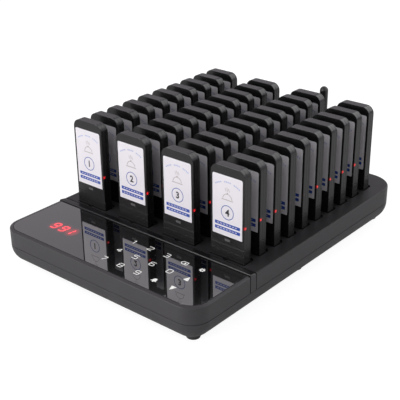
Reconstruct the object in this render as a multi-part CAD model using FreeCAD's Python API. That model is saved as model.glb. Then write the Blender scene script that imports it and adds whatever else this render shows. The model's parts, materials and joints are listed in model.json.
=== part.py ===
import FreeCAD, Part
import math
import os

# Guest pager system: a table-top charging base with a touch console in front and a deck of
# forty upright pagers behind it. Millimetres. +Z is up and -Y faces the person who uses it.
# The origin is on the table, under the middle of the base.

V = FreeCAD.Vector

# Base casing
BASE_WIDTH = 310.0
BASE_DEPTH = 420.0
DECK_Z = 50.0
SEAM_Z = 28.6
BELLY_Z = 3.5
FRONT_CORNER_R = 25.0
REAR_CORNER_R = 37.0
BELLY_R = 23.0
BELLY_STEPS = 3
WALL = 2.5
SHELL_WALL = 3.5
DECK_THICKNESS = 3.0
DECK_BEVEL = 2.0
SEAM_GROOVE = 0.6
TRAY_FLOOR = 2.5
TRAY_RIM = 3.5
TRAY_LEDGE = 14.0
TRAY_LEDGE_Z = 15.0

# Console and its glass
RIM_WIDTH = 4.3
RIM_STEP = 1.3
RIM_DROP = 1.7
GLASS_THICKNESS = 2.0
GLASS_GAP = 0.4
GLASS_SHELF = 2.0

# Bridge strip between the console and the deck
CONSOLE_DEPTH = 95.2
STRIP_DEPTH = 10.0
STRIP_RISE = 1.4
STRIP_GROOVE = 0.6
STRIP_NOSE = 0.6

# Pagers
PAGER_WIDTH = 48.0
PAGER_THICKNESS = 12.0
PAGER_ABOVE_DECK = 113.2
PAGER_BELOW_DECK = 12.0
PAGER_TOP_R = 10.0
PAGER_TOP_CHORDS = 5
CHIN_DEPTH = 7.4
CHIN_TOP = 17.6
CHIN_BAND_HEIGHT = 7.8
CHIN_GAP = 0.4
COLUMNS = 4
ROWS = 10
SIDE_MARGIN = 21.05
FRONT_MARGIN = 4.8
REAR_MARGIN = 41.86
LABEL_WIDTH = 42.0
LABEL_HEIGHT = 73.75
LABEL_THICKNESS = 0.3
LABEL_BOTTOM = 28.7
LENS_WIDTH = 1.8
LENS_HEIGHT = 4.2
LENS_PROUD = 0.3
LENS_FROM_FRONT = 1.6
LENS_CENTRE = 45.4

# Slots in the deck and the rack under it
SLOT_SIDE_GAP = 1.0
SLOT_FRONT_GAP = 1.0
SLOT_DEPTH = 20.0
SLOT_CORNER_CUT = 3.0
POCKET_CLEARANCE = 0.4
POCKET_FLOOR = 2.0
RACK_MARGIN = 8.0

# Charging contacts and boards
CONTACT_WIDTH = 14.0
CONTACT_DEPTH = 5.0
CONTACT_HEIGHT = 2.0
CONTACT_GAP = 0.3
BOARD_THICKNESS = 1.6
BOARD_WIDTH = 56.0

# Touch board, number display, main board and sounder
TOUCH_BOARD_WIDTH = 130.0
TOUCH_BOARD_DEPTH = 70.0
TOUCH_BOARD_FROM_RIGHT = 103.0
TOUCH_BOARD_FROM_FRONT = 48.0
DISPLAY_WIDTH = 44.0
DISPLAY_DEPTH = 22.0
DISPLAY_HEIGHT = 8.0
DISPLAY_FROM_LEFT = 61.0
DISPLAY_FROM_FRONT = 45.5
MAIN_BOARD_WIDTH = 200.0
MAIN_BOARD_DEPTH = 60.0
MAIN_BOARD_FROM_FRONT = 60.0
SOUNDER_R = 6.0
SOUNDER_HEIGHT = 7.0
SOUNDER_FROM_LEFT = 95.0

# Feet
FOOT_R = 8.0
FOOT_HEIGHT = 2.6
FOOT_SIDE_INSET = 23.0
FOOT_FRONT_INSET = 24.0
FOOT_REAR_INSET = 28.0
FOOT_MIDDLE_Y = 5.5
LEFT_FOOT_SETBACK = 12.0
FOOT_BOSS_LIP = 1.0
FOOT_BOSS_TOP = 12.0

# Antenna on the rear deck
ANTENNA_FROM_RIGHT = 110.0
ANTENNA_FROM_REAR = 21.0
ANTENNA_TIP = 115.6
ANTENNA_R = 5.6
SOCKET_R = 3.2
SOCKET_RISE = 6.0
SOCKET_STEM = 5.0
NUT_WIDTH = 9.0
NUT_HEIGHT = 2.0
SWIVEL_HEIGHT = 12.0
THREAD_CLEARANCE = 0.1
FORK_HEIGHT = 12.0
EYE_WIDTH = 5.0
EYE_GAP = 0.3
NECK_WIDTH = 9.0
DOME_STEPS = 3
PIN_R = 1.2
PIN_CLEARANCE = 0.05

# Power inlet in the rear wall
INLET_FROM_LEFT = 95.0
INLET_BELOW_DECK = 12.0
INLET_WIDTH = 9.0
INLET_HEIGHT = 11.0
INLET_DEPTH = 14.0
INLET_BORE_R = 3.1
INLET_BORE_DEPTH = 9.0
INLET_PIN_R = 1.0
INLET_CLEARANCE = 0.1

HALF_WIDTH = BASE_WIDTH / 2
FRONT_Y = -BASE_DEPTH / 2
REAR_Y = BASE_DEPTH / 2
STRIP_FRONT_Y = FRONT_Y + CONSOLE_DEPTH
STRIP_REAR_Y = STRIP_FRONT_Y + STRIP_DEPTH
CONSOLE_REAR_Y = STRIP_FRONT_Y - STRIP_GROOVE
DECK_FRONT_Y = STRIP_REAR_Y + STRIP_GROOVE
FIRST_COLUMN_X = -HALF_WIDTH + SIDE_MARGIN + PAGER_WIDTH / 2
COLUMN_PITCH = -2 * FIRST_COLUMN_X / (COLUMNS - 1)
FIRST_ROW_Y = STRIP_REAR_Y + FRONT_MARGIN
LAST_ROW_Y = REAR_Y - REAR_MARGIN - PAGER_THICKNESS
ROW_PITCH = (LAST_ROW_Y - FIRST_ROW_Y) / (ROWS - 1)
RACK_TOP_Z = DECK_Z - DECK_THICKNESS
POCKET_Z = DECK_Z - PAGER_BELOW_DECK - CONTACT_GAP - CONTACT_HEIGHT
RACK_BOTTOM_Z = POCKET_Z - POCKET_FLOOR
GLASS_BOTTOM_Z = DECK_Z - GLASS_THICKNESS
SHELF_BOTTOM_Z = GLASS_BOTTOM_Z - GLASS_SHELF
TOUCH_BOARD_X = HALF_WIDTH - TOUCH_BOARD_FROM_RIGHT
TOUCH_BOARD_Y = FRONT_Y + TOUCH_BOARD_FROM_FRONT
DISPLAY_X = DISPLAY_FROM_LEFT - HALF_WIDTH
DISPLAY_Y = FRONT_Y + DISPLAY_FROM_FRONT
MAIN_BOARD_Y = FRONT_Y + MAIN_BOARD_FROM_FRONT
SOUNDER_X = SOUNDER_FROM_LEFT - HALF_WIDTH
ANTENNA_X = HALF_WIDTH - ANTENNA_FROM_RIGHT
ANTENNA_Y = REAR_Y - ANTENNA_FROM_REAR
PIVOT_Z = DECK_Z + NUT_HEIGHT + SWIVEL_HEIGHT + FORK_HEIGHT / 2
INLET_X = INLET_FROM_LEFT - HALF_WIDTH
INLET_Z = DECK_Z - INLET_BELOW_DECK


def block(x0, x1, y0, y1, z0, z1):
    """A plain box between two corners."""
    return Part.makeBox(x1 - x0, y1 - y0, z1 - z0, V(x0, y0, z0))


def rod(radius, height, x, y, z):
    """An upright cylinder whose foot is at x, y, z."""
    return Part.makeCylinder(radius, height, V(x, y, z))


def arc(centre_x, centre_y, z, radius, start, end):
    """A level arc between two angles in degrees."""
    circle = Part.Circle(V(centre_x, centre_y, z), V(0, 0, 1), radius)
    return Part.Arc(circle, math.radians(start), math.radians(end)).toShape()


def plan(half_width, y0, y1, z, front_r, rear_r):
    """A level outline, symmetric about X = 0, with round corners where a radius is given."""
    edges = []
    points = []
    corners = (
        (half_width, y0, front_r, -90),
        (half_width, y1, rear_r, 0),
        (-half_width, y1, rear_r, 90),
        (-half_width, y0, front_r, 180),
    )
    for x, y, radius, start in corners:
        cx = x - radius if x > 0 else x + radius
        cy = y + radius if y == y0 else y - radius
        if radius > 0:
            edge = arc(cx, cy, z, radius, start, start + 90)
            edges.append(edge)
            points.append((edge.valueAt(edge.FirstParameter), edge.valueAt(edge.LastParameter)))
        else:
            points.append((V(x, y, z), V(x, y, z)))
    for index, (entry, leave) in enumerate(points):
        following = points[(index + 1) % len(points)][0]
        edges.append(Part.makeLine(leave, following))
    return Part.Wire(Part.__sortEdges__(edges))


def prism(outline, height):
    """An outline carried straight up."""
    return Part.Face(outline).extrude(V(0, 0, height))


def ruled(lower, upper):
    """The straight-sided solid between two outlines."""
    return Part.makeLoft([lower, upper], True, True)


def slot_centres():
    """The middle of each pager's front edge, column by column from the left front."""
    places = []
    for column in range(COLUMNS):
        for row in range(ROWS):
            places.append((FIRST_COLUMN_X + column * COLUMN_PITCH, FIRST_ROW_Y + row * ROW_PITCH))
    return places


def belly_outline(inset, z):
    """The full plan of the base, drawn in by an inset."""
    return plan(HALF_WIDTH - inset, FRONT_Y + inset, REAR_Y - inset, z, FRONT_CORNER_R - inset,
                REAR_CORNER_R - inset)


def belly_level(step):
    """Inset and height of one level of the quarter-round belly, from its foot up."""
    angle = math.pi / 2 * step / BELLY_STEPS
    return BELLY_R * (1 - math.sin(angle)), BELLY_Z + BELLY_R * (1 - math.cos(angle))


def foot_places():
    """The middle of each foot, three along each side. The left front one sits further back."""
    x = HALF_WIDTH - FOOT_SIDE_INSET
    front = FRONT_Y + FOOT_FRONT_INSET
    rear = REAR_Y - FOOT_REAR_INSET
    left = [(-x, front + LEFT_FOOT_SETBACK), (-x, FOOT_MIDDLE_Y), (-x, rear)]
    return left + [(x, front), (x, FOOT_MIDDLE_Y), (x, rear)]


def lower_shell():
    """The belly tray: full plan at the seam, rounded in underneath, with a boss over each foot."""
    top_z = BELLY_Z + BELLY_R
    body = prism(belly_outline(0, top_z), SEAM_Z - SEAM_GROOVE - top_z)
    groove = ruled(belly_outline(0, SEAM_Z - SEAM_GROOVE), belly_outline(SEAM_GROOVE, SEAM_Z))
    stages = [groove]
    for step in range(BELLY_STEPS):
        stages.append(ruled(belly_outline(*belly_level(step)), belly_outline(*belly_level(step + 1))))
    radius = FOOT_R + FOOT_BOSS_LIP
    bosses = [rod(radius, FOOT_BOSS_TOP - FOOT_HEIGHT, x, y, FOOT_HEIGHT) for x, y in foot_places()]
    body = body.fuse(stages + bosses)
    mouth = prism(belly_outline(TRAY_RIM, TRAY_LEDGE_Z), SEAM_Z - TRAY_LEDGE_Z)
    well = prism(belly_outline(TRAY_LEDGE, BELLY_Z + TRAY_FLOOR), SEAM_Z - BELLY_Z - TRAY_FLOOR)
    return body.cut([mouth, well]).removeSplitter()


def feet():
    """Round rubber feet, one under each boss."""
    return Part.makeCompound([rod(FOOT_R, FOOT_HEIGHT, x, y, 0) for x, y in foot_places()])


def console_outline(inset, z):
    """The plan of the front casing, drawn in on its three outer sides."""
    return plan(HALF_WIDTH - inset, FRONT_Y + inset, CONSOLE_REAR_Y, z, FRONT_CORNER_R - inset, 0)


def console_shell():
    """The front casing: upright walls, a two-step round rim and a shelf for the glass."""
    wall_z = DECK_Z - RIM_DROP
    middle_z = DECK_Z - RIM_DROP / 4
    body = prism(console_outline(0, SEAM_Z), wall_z - SEAM_Z)
    body = body.fuse([ruled(console_outline(0, wall_z), console_outline(RIM_STEP, middle_z)),
                      ruled(console_outline(RIM_STEP, middle_z), console_outline(RIM_WIDTH, DECK_Z))])
    body = body.cut(prism(console_outline(RIM_WIDTH, GLASS_BOTTOM_Z), GLASS_THICKNESS))
    inside = plan(HALF_WIDTH - SHELL_WALL, FRONT_Y + SHELL_WALL, CONSOLE_REAR_Y - WALL, SEAM_Z,
                  FRONT_CORNER_R - SHELL_WALL, 0)
    cavity = prism(inside, SHELF_BOTTOM_Z - SEAM_Z)
    window = display_block(GLASS_GAP, SEAM_Z, GLASS_BOTTOM_Z)
    return body.cut([cavity, window]).removeSplitter()


def touch_glass():
    """One flat plate of dark glass, flush with the rim, with a fine gap all round."""
    inset = RIM_WIDTH + GLASS_GAP
    outline = plan(HALF_WIDTH - inset, FRONT_Y + inset, CONSOLE_REAR_Y - GLASS_GAP, GLASS_BOTTOM_Z,
                   FRONT_CORNER_R - inset, 0)
    return prism(outline, GLASS_THICKNESS)


def touch_board():
    """The touch-sensing board under the key field."""
    x0 = TOUCH_BOARD_X - TOUCH_BOARD_WIDTH / 2
    y0 = TOUCH_BOARD_Y - TOUCH_BOARD_DEPTH / 2
    return block(x0, x0 + TOUCH_BOARD_WIDTH, y0, y0 + TOUCH_BOARD_DEPTH, SHELF_BOTTOM_Z - BOARD_THICKNESS,
                 SHELF_BOTTOM_Z)


def display_block(margin, z0, z1):
    """The footprint of the number display, with a margin all round."""
    half = DISPLAY_WIDTH / 2 + margin
    deep = DISPLAY_DEPTH / 2 + margin
    return block(DISPLAY_X - half, DISPLAY_X + half, DISPLAY_Y - deep, DISPLAY_Y + deep, z0, z1)


def number_display():
    """The three-digit display block, straight under the glass."""
    return display_block(0, GLASS_BOTTOM_Z - DISPLAY_HEIGHT, GLASS_BOTTOM_Z)


def main_board():
    """The main circuit board on the floor of the belly tray."""
    floor_z = BELLY_Z + TRAY_FLOOR
    y0 = MAIN_BOARD_Y - MAIN_BOARD_DEPTH / 2
    return block(-MAIN_BOARD_WIDTH / 2, MAIN_BOARD_WIDTH / 2, y0, y0 + MAIN_BOARD_DEPTH, floor_z,
                 floor_z + BOARD_THICKNESS)


def sounder():
    """The round sounder that beeps at each key, on the main board."""
    return rod(SOUNDER_R, SOUNDER_HEIGHT, SOUNDER_X, MAIN_BOARD_Y, BELLY_Z + TRAY_FLOOR + BOARD_THICKNESS)


def bridge_strip():
    """The raised bar between console and deck, carried down both side walls to the seam."""
    y0 = STRIP_FRONT_Y
    y1 = STRIP_REAR_Y
    top = DECK_Z + STRIP_RISE
    side = HALF_WIDTH
    profile = [V(-side, y0, SEAM_Z), V(-side, y0, top - STRIP_NOSE), V(-side, y0 + STRIP_NOSE, top),
               V(-side, y1, DECK_Z), V(-side, y1, SEAM_Z)]
    body = Part.Face(Part.makePolygon(profile + profile[:1])).extrude(V(BASE_WIDTH, 0, 0))
    hollow = block(-side + WALL, side - WALL, y0, y1, SEAM_Z, RACK_TOP_Z)
    shoulder = top - STRIP_RISE - DECK_BEVEL
    front = [V(-side, y0, SEAM_Z), V(-side, y0, shoulder), V(-side + DECK_BEVEL, y0, top),
             V(side - DECK_BEVEL, y0, top), V(side, y0, shoulder), V(side, y0, SEAM_Z)]
    outside = Part.Face(Part.makePolygon(front + front[:1])).extrude(V(0, STRIP_DEPTH, 0))
    return body.cut(hollow).common(outside)


def slot_cutter(x, y):
    """A slot through the deck: square corners in front and cut corners behind."""
    half = PAGER_WIDTH / 2 + SLOT_SIDE_GAP
    y0 = y - SLOT_FRONT_GAP
    y1 = y0 + SLOT_DEPTH
    cut = SLOT_CORNER_CUT
    z = RACK_TOP_Z
    points = [V(x - half, y0, z), V(x + half, y0, z), V(x + half, y1 - cut, z), V(x + half - cut, y1, z),
              V(x - half + cut, y1, z), V(x - half, y1 - cut, z)]
    return prism(Part.makePolygon(points + points[:1]), DECK_THICKNESS)


def deck_outline(inset, z):
    """The plan of the rear casing, drawn in on its three outer sides."""
    return plan(HALF_WIDTH - inset, DECK_FRONT_Y, REAR_Y - inset, z, 0, REAR_CORNER_R - inset)


def deck_shell():
    """The rear casing: bevelled deck with forty slots, and walls down to the seam."""
    shoulder = DECK_Z - DECK_BEVEL
    body = prism(deck_outline(0, SEAM_Z), shoulder - SEAM_Z)
    body = body.fuse(ruled(deck_outline(0, shoulder), deck_outline(DECK_BEVEL, DECK_Z)))
    inside = plan(HALF_WIDTH - SHELL_WALL, DECK_FRONT_Y + WALL, REAR_Y - SHELL_WALL, SEAM_Z, 0,
                  REAR_CORNER_R - SHELL_WALL)
    cavity = prism(inside, RACK_TOP_Z - SEAM_Z)
    cutters = [slot_cutter(x, y) for x, y in slot_centres()]
    cutters.append(cavity)
    cutters.append(rod(SOCKET_R, DECK_THICKNESS, ANTENNA_X, ANTENNA_Y, RACK_TOP_Z))
    cutters.append(inlet_block(INLET_CLEARANCE, REAR_Y - SHELL_WALL, REAR_Y))
    return body.cut(cutters).removeSplitter()


def charging_rack():
    """The moulded rack under the deck, with a blind pocket for the foot of each pager."""
    half = -FIRST_COLUMN_X + PAGER_WIDTH / 2 + RACK_MARGIN
    body = block(-half, half, DECK_FRONT_Y + WALL, LAST_ROW_Y + PAGER_THICKNESS + RACK_MARGIN, RACK_BOTTOM_Z,
                 RACK_TOP_Z)
    side = PAGER_WIDTH / 2 + POCKET_CLEARANCE
    pockets = []
    for x, y in slot_centres():
        pockets.append(block(x - side, x + side, y - POCKET_CLEARANCE, y + PAGER_THICKNESS + POCKET_CLEARANCE,
                             POCKET_Z, RACK_TOP_Z))
    return body.cut(pockets)


def charging_contacts():
    """A sprung contact block on the floor of every pocket."""
    blocks = []
    for x, y in slot_centres():
        y0 = y + (PAGER_THICKNESS - CONTACT_DEPTH) / 2
        blocks.append(block(x - CONTACT_WIDTH / 2, x + CONTACT_WIDTH / 2, y0, y0 + CONTACT_DEPTH, POCKET_Z,
                            POCKET_Z + CONTACT_HEIGHT))
    return Part.makeCompound(blocks)


def charging_boards():
    """One long circuit board under each column of pockets."""
    boards = []
    for column in range(COLUMNS):
        x0 = FIRST_COLUMN_X + column * COLUMN_PITCH - BOARD_WIDTH / 2
        boards.append(block(x0, x0 + BOARD_WIDTH, FIRST_ROW_Y, LAST_ROW_Y + PAGER_THICKNESS,
                            RACK_BOTTOM_Z - BOARD_THICKNESS, RACK_BOTTOM_Z))
    return Part.makeCompound(boards)


def pager_block(x, y0, y1, z0, z1):
    """A block as wide as a pager, whose middle is at x."""
    return block(x - PAGER_WIDTH / 2, x + PAGER_WIDTH / 2, y0, y1, z0, z1)


def pager_plate(x, y, z0, z1):
    """The upright pager body, whose two top corners are rounded in short equal chords."""
    reach = PAGER_WIDTH / 2 - PAGER_TOP_R
    points = [V(x - PAGER_WIDTH / 2, y, z0), V(x + PAGER_WIDTH / 2, y, z0)]
    for side in (1, -1):
        chords = range(PAGER_TOP_CHORDS + 1)
        for step in chords if side > 0 else reversed(chords):
            angle = math.pi / 2 * step / PAGER_TOP_CHORDS
            points.append(V(x + side * (reach + PAGER_TOP_R * math.cos(angle)), y,
                            z1 - PAGER_TOP_R * (1 - math.sin(angle))))
    return Part.Face(Part.makePolygon(points + points[:1])).extrude(V(0, PAGER_THICKNESS, 0))


def pager(x, y):
    """One pager: housing, two chin pieces in front of its foot, label card and light window."""
    right = x + PAGER_WIDTH / 2
    bottom = DECK_Z - PAGER_BELOW_DECK
    chin = DECK_Z + CHIN_TOP
    band = chin - CHIN_GAP
    boot = band - CHIN_BAND_HEIGHT
    housing = pager_plate(x, y, bottom, DECK_Z + PAGER_ABOVE_DECK)
    housing = housing.cut(pager_block(x, y, y + CHIN_DEPTH, bottom, chin))
    label_z = DECK_Z + LABEL_BOTTOM
    label = block(x - LABEL_WIDTH / 2, x + LABEL_WIDTH / 2, y - LABEL_THICKNESS, y, label_z,
                  label_z + LABEL_HEIGHT)
    lens_y = y + LENS_FROM_FRONT
    lens_z = DECK_Z + LENS_CENTRE - LENS_HEIGHT / 2
    lens = block(right, right + LENS_PROUD, lens_y, lens_y + LENS_WIDTH, lens_z, lens_z + LENS_HEIGHT)
    chin_band = pager_block(x, y, y + CHIN_DEPTH, boot, band)
    foot_boot = pager_block(x, y, y + CHIN_DEPTH, bottom, boot - CHIN_GAP)
    return Part.makeCompound([housing, chin_band, foot_boot, label, lens])


def antenna_socket():
    """The threaded socket through the rear deck, with its hexagon nut."""
    x = ANTENNA_X
    y = ANTENNA_Y
    stem = rod(SOCKET_R, SOCKET_STEM + NUT_HEIGHT + SOCKET_RISE, x, y, DECK_Z - SOCKET_STEM)
    corner = NUT_WIDTH / math.sqrt(3)
    points = []
    for side in range(6):
        angle = math.radians(60 * side)
        points.append(V(x + corner * math.cos(angle), y + corner * math.sin(angle), DECK_Z))
    nut = prism(Part.makePolygon(points + points[:1]), NUT_HEIGHT)
    return stem.fuse(nut).removeSplitter()


def antenna_swivel():
    """The turning collar on the socket, ending in a fork whose ears are round about the pivot."""
    x = ANTENNA_X
    y = ANTENNA_Y
    z0 = DECK_Z + NUT_HEIGHT
    fork_z = z0 + SWIVEL_HEIGHT
    ear_r = FORK_HEIGHT / 2
    reach = 2 * ANTENNA_R
    half = EYE_WIDTH / 2 + EYE_GAP
    body = rod(ANTENNA_R, SWIVEL_HEIGHT + FORK_HEIGHT, x, y, z0)
    round_top = Part.makeCylinder(ear_r, 2 * reach, V(x, y - reach, PIVOT_Z), V(0, 1, 0))
    above = block(x - reach, x + reach, y - reach, y + reach, PIVOT_Z, PIVOT_Z + ear_r).cut(round_top)
    slot = block(x - reach, x + reach, y - half, y + half, fork_z, fork_z + FORK_HEIGHT)
    bore = rod(SOCKET_R + THREAD_CLEARANCE, SOCKET_RISE + EYE_GAP, x, y, z0)
    return body.cut([above, slot, bore, pivot_pin_solid(0)]).removeSplitter()


def pivot_pin_solid(clearance):
    """The pin across the fork, or the hole for it."""
    length = 2 * ANTENNA_R
    start = V(ANTENNA_X, ANTENNA_Y - length / 2, PIVOT_Z)
    return Part.makeCylinder(PIN_R + clearance, length, start, V(0, 1, 0))


def antenna_pin():
    """The pivot pin, held tight in the fork."""
    round_body = rod(ANTENNA_R, FORK_HEIGHT, ANTENNA_X, ANTENNA_Y, PIVOT_Z - FORK_HEIGHT / 2)
    return pivot_pin_solid(0).common(round_body)


def antenna_mast():
    """The whip: an eye between the fork's ears, then a round rod with a domed tip."""
    x = ANTENNA_X
    y = ANTENNA_Y
    start = PIVOT_Z + FORK_HEIGHT / 2 + EYE_GAP
    tip = DECK_Z + ANTENNA_TIP
    profile = [V(x, y, start), V(x + ANTENNA_R, y, start)]
    for step in range(DOME_STEPS + 1):
        angle = math.pi / 2 * step / DOME_STEPS
        profile.append(V(x + ANTENNA_R * math.cos(angle), y, tip - ANTENNA_R * (1 - math.sin(angle))))
    shaft = Part.Face(Part.makePolygon(profile + profile[:1])).revolve(V(x, y, 0), V(0, 0, 1), 360)
    eye_r = ANTENNA_R - EYE_GAP
    eye = Part.makeCylinder(eye_r, EYE_WIDTH, V(x, y - EYE_WIDTH / 2, PIVOT_Z), V(0, 1, 0))
    neck = block(x - NECK_WIDTH / 2, x + NECK_WIDTH / 2, y - EYE_WIDTH / 2, y + EYE_WIDTH / 2, PIVOT_Z, start)
    body = shaft.fuse([eye, neck])
    return body.cut(pivot_pin_solid(PIN_CLEARANCE)).removeSplitter()


def inlet_block(margin, y0, y1):
    """The footprint of the power inlet in the rear wall, with a margin all round."""
    half = INLET_WIDTH / 2 + margin
    tall = INLET_HEIGHT / 2 + margin
    return block(INLET_X - half, INLET_X + half, y0, y1, INLET_Z - tall, INLET_Z + tall)


def power_inlet():
    """The power inlet: a moulded block with a round mouth and its centre pin."""
    body = inlet_block(0, REAR_Y - INLET_DEPTH, REAR_Y)
    mouth = V(INLET_X, REAR_Y - INLET_BORE_DEPTH, INLET_Z)
    bore = Part.makeCylinder(INLET_BORE_R, INLET_BORE_DEPTH, mouth, V(0, 1, 0))
    pin = Part.makeCylinder(INLET_PIN_R, INLET_BORE_DEPTH - INLET_PIN_R, mouth, V(0, 1, 0))
    return body.cut(bore).fuse(pin).removeSplitter()


def main():
    os.makedirs("parts", exist_ok=True)
    nodes = {
        "lower_shell": lower_shell(),
        "feet": feet(),
        "console_shell": console_shell(),
        "touch_glass": touch_glass(),
        "touch_board": touch_board(),
        "number_display": number_display(),
        "main_board": main_board(),
        "sounder": sounder(),
        "bridge_strip": bridge_strip(),
        "deck_shell": deck_shell(),
        "charging_rack": charging_rack(),
        "charging_contacts": charging_contacts(),
        "charging_boards": charging_boards(),
        "antenna_socket": antenna_socket(),
        "antenna_swivel": antenna_swivel(),
        "antenna_pin": antenna_pin(),
        "antenna_mast": antenna_mast(),
        "power_inlet": power_inlet(),
    }
    for number, (x, y) in enumerate(slot_centres(), 1):
        nodes["pager_%02d" % number] = pager(x, y)
    for name, shape in nodes.items():
        shape.exportStep("parts/" + name + ".step")


main()
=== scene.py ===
import json
import math

import bmesh
import bpy
import numpy as np
from mathutils import Matrix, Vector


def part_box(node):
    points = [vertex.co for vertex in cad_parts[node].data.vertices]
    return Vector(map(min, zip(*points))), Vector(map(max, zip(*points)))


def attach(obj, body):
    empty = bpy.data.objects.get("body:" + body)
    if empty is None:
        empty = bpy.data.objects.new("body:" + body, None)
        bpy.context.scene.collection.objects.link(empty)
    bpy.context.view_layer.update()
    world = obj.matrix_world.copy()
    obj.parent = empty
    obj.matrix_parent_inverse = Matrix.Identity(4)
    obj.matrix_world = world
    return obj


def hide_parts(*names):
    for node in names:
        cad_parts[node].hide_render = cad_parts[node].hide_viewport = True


bl_info = {
    "name": "Guest pager system",
    "version": (1, 0, 0),
    "blender": (4, 5, 0),
    "location": "View3D > Sidebar > Pager system",
    "description": "Builds the surfaces of a guest pager charging base, its pagers and its antenna",
    "category": "Add Mesh",
}

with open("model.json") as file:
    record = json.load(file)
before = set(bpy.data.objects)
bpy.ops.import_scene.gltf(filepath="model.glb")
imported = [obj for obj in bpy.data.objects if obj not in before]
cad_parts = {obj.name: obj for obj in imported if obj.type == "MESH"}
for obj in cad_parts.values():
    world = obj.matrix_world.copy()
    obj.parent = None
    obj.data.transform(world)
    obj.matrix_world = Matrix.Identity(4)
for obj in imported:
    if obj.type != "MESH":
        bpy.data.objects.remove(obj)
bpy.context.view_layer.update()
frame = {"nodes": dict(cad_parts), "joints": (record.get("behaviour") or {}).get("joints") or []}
NODES = frame["nodes"]
MM = 0.001


def low(node):
    """The lowest corner of a node, in millimetres."""
    return np.array(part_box(node)[0]) / MM


def high(node):
    """The highest corner of a node, in millimetres."""
    return np.array(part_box(node)[1]) / MM


PAGERS = sorted(name for name in NODES if name.startswith("pager_"))
COLUMNS = 4
ROWS = len(PAGERS) // COLUMNS

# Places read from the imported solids, in millimetres
HALF_WIDTH = high("lower_shell")[0]
FRONT_Y = low("lower_shell")[1]
REAR_Y = high("lower_shell")[1]
SEAM_Z = high("lower_shell")[2]
DECK_Z = high("deck_shell")[2]
DECK_FRONT_Y = low("deck_shell")[1]
CONSOLE_REAR_Y = high("console_shell")[1]
STRIP_FRONT_Y, STRIP_TOP_Z = low("bridge_strip")[1], high("bridge_strip")[2]
STRIP_REAR_Y = high("bridge_strip")[1]
GLASS_LOW, GLASS_HIGH = low("touch_glass"), high("touch_glass")
RACK_TOP_Z = high("charging_rack")[2]
PAGER_LOW_Z, PAGER_TOP_Z = low(PAGERS[0])[2], high(PAGERS[0])[2]
PAGER_LEFT = low(PAGERS[0])[0]
COLUMN_PITCH = low(PAGERS[ROWS])[0] - PAGER_LEFT
ROW_PITCH = low(PAGERS[1])[1] - low(PAGERS[0])[1]

# Sizes of the base, in millimetres
FRONT_CORNER_R = 25.0
REAR_CORNER_R = 37.0
BELLY_Z = 3.5
BELLY_R = 23.0
SHELL_WALL = 3.5
END_WALL = 2.5
FOOT_R = 8.0
FOOT_TOP_Z = 2.6
# How far the console and the bar stop short of what lies behind them, so that a dark gap line shows
EDGE_RELIEF = 0.4
# The small round edge over the seam: how far in on the sides, how far in at the open end, and height
FOOT_EDGE = [(0.0, 0.0, SEAM_Z + 0.35), (0.08, 0.08, SEAM_Z + 0.08), (0.3, 0.3, SEAM_Z)]

# Places of the marks on the glass, in millimetres
KEY_PITCH = 26.0
DIGIT_PITCH = 14.3
DIGIT_SHIFT = 4.2
DIGIT_Y = -166.2
GLOW_SIZE = (10.0, 12.5)

# Sizes of a pager, in millimetres: the two parting lines are measured from its front, the chin's two
# upper edges and the window's middle from the deck
PAGER_WIDTH = 48.0
PAGER_THICKNESS = 12.0
PAGER_TOP_R = 10.0
PAGER_SPLIT = 9.4
PAGER_BAND = 4.6
CHIN_TOP = 17.6
CHIN_BAND = 9.8
WINDOW_HEIGHT = 45.4
LABEL_THICKNESS = 0.3
SPLIT_GAP = 0.04
CREASE = 0.42
LIP = 0.02
FIRST_COLUMN_X = PAGER_LEFT + PAGER_WIDTH / 2
FIRST_ROW_Y = low(PAGERS[0])[1] + LABEL_THICKNESS

# Limits of the shape functions: edges that turn by more than an angle in degrees stay sharp, a turned
# profile keeps a pinhole at its axis, and a round corner drawn in by more than its radius keeps a little
SHARP_ANGLE = 32.0
AXIS_R = 0.01
SMALLEST_R = 0.02

# Pagers whose light is on in the photograph: column and row, both counted from the left front
LIT_PAGERS = {(3, 0), (3, 1), (3, 2), (3, 5), (3, 6), (3, 7), (3, 8), (2, 0), (2, 1), (1, 0), (1, 1), (0, 0)}


class PagerSizes(bpy.types.PropertyGroup):
    """Sizes and colours of the pagers that a user would change."""

    label_width: bpy.props.FloatProperty(
        name="Label width", description="Width of the printed label in millimetres", default=42.0)
    label_height: bpy.props.FloatProperty(
        name="Label height", description="Height of the printed label in millimetres", default=73.75)
    label_bottom: bpy.props.FloatProperty(
        name="Label bottom", description="Height of the label's lower edge over the deck in millimetres",
        default=28.7)
    edge_radius: bpy.props.FloatProperty(
        name="Edge radius", description="Bevel of the housing's front edge in millimetres", default=0.35)
    plastic: bpy.props.FloatVectorProperty(
        name="Plastic", description="Colour of the pager housings", subtype="COLOR", size=3,
        default=(0.011, 0.011, 0.0115))
    card: bpy.props.FloatVectorProperty(
        name="Card", description="Colour of the label's paper", subtype="COLOR", size=3,
        default=(0.80, 0.765, 0.815))
    ink: bpy.props.FloatVectorProperty(
        name="Blue ink", description="Colour of the label's blue print", subtype="COLOR", size=3,
        default=(0.018, 0.066, 0.37))


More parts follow.
